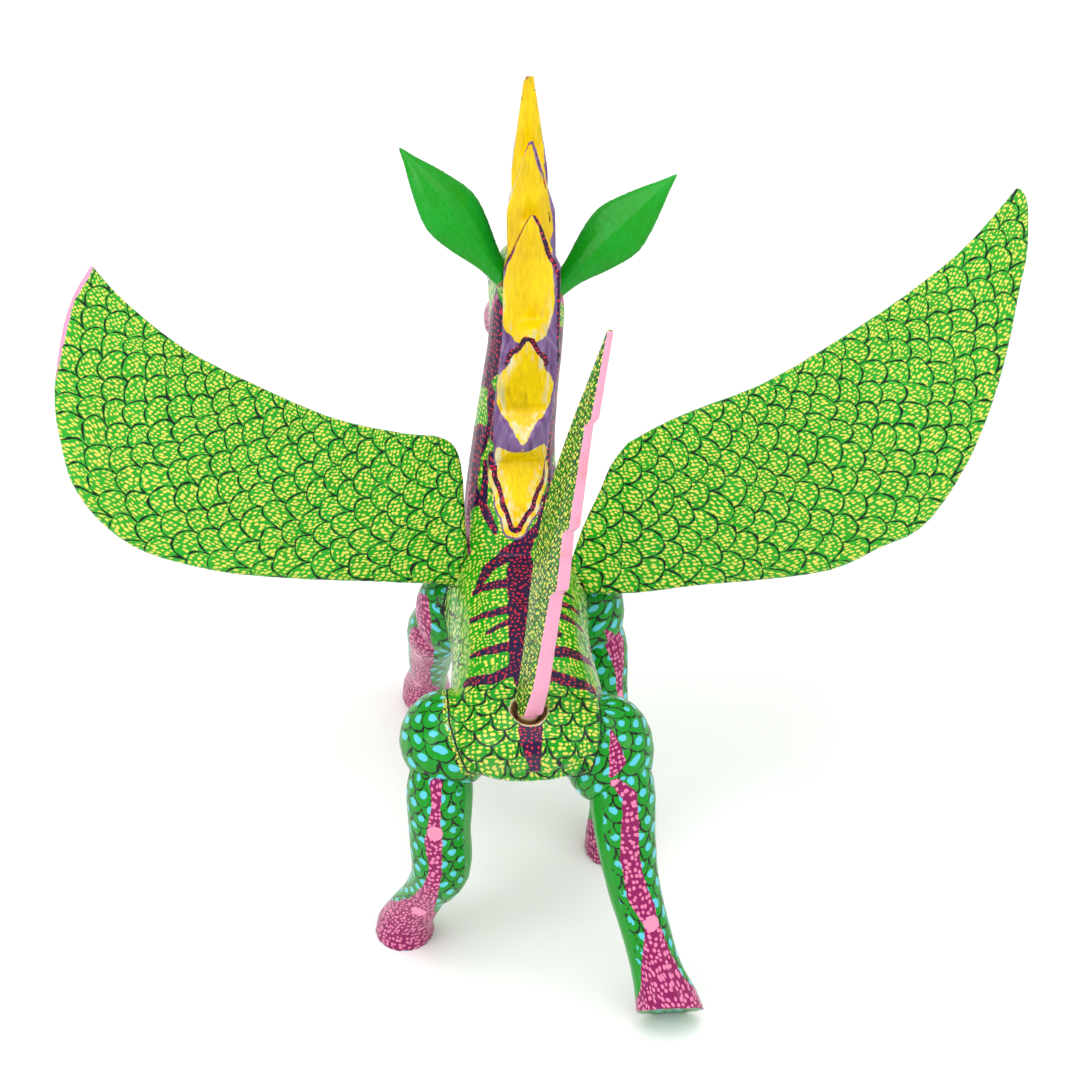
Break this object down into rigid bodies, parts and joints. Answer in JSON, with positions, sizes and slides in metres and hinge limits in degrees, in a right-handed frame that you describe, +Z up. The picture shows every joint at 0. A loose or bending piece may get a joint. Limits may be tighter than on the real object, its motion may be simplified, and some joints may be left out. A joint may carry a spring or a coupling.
{
  "type": "winged horse figure",
  "caption": "Free-standing carved wooden winged horse in a walking stride, with a tall saw-edged mane and plug-in wings, leaf-shaped ears and flame-shaped tail.",
  "frame": {"origin": "on the ground under the middle of the figure's bounding box", "axes": "+Z up, the horse faces -Y, +X is its left side"},
  "size_m": [0.337, 0.2232, 0.289],
  "materials": {
    "body_paint": "varnished acrylic paint: green with yellow dots, plum bands with red dots, a yellow crest",
    "leg_paint": "varnished acrylic paint: green scales with pale blue dots and magenta bands with pink dots",
    "wing_paint": "varnished acrylic paint: black-outlined green scales filled with yellow dots",
    "ear_paint": "varnished plain green acrylic paint",
    "tail_paint": "varnished acrylic paint: pink edge, green flanks with yellow dots, bare wood at the stem"
  },
  "bodies": {
    "body_and_legs": {"carved_body": "body_paint", "left_hind_leg": "leg_paint", "right_hind_leg": "leg_paint", "left_foreleg": "leg_paint", "right_foreleg": "leg_paint"},
    "left_wing": {"left_wing": "wing_paint"},
    "right_wing": {"right_wing": "wing_paint"},
    "left_ear": {"left_ear": "ear_paint"},
    "right_ear": {"right_ear": "ear_paint"},
    "tail": {"tail": "tail_paint"}
  },
  "joints": [
    {"name": "left_wing_pull_out", "type": "slide", "parent": "body_and_legs", "child": "left_wing", "axis": [0.6961, -0.183, 0.6943], "range_m": [0, 0.022]},
    {"name": "right_wing_pull_out", "type": "slide", "parent": "body_and_legs", "child": "right_wing", "axis": [-0.6961, -0.183, 0.6943], "range_m": [0, 0.022]},
    {"name": "left_ear_pull_out", "type": "slide", "parent": "body_and_legs", "child": "left_ear", "axis": [0.597, -0.398, 0.6965], "range_m": [0, 0.014]},
    {"name": "right_ear_pull_out", "type": "slide", "parent": "body_and_legs", "child": "right_ear", "axis": [-0.7522, -0.3563, 0.5543], "range_m": [0, 0.014]},
    {"name": "tail_pull_out", "type": "slide", "parent": "body_and_legs", "child": "tail", "axis": [-0.1524, 0.0889, 0.9843], "range_m": [0, 0.026]}
  ]
}
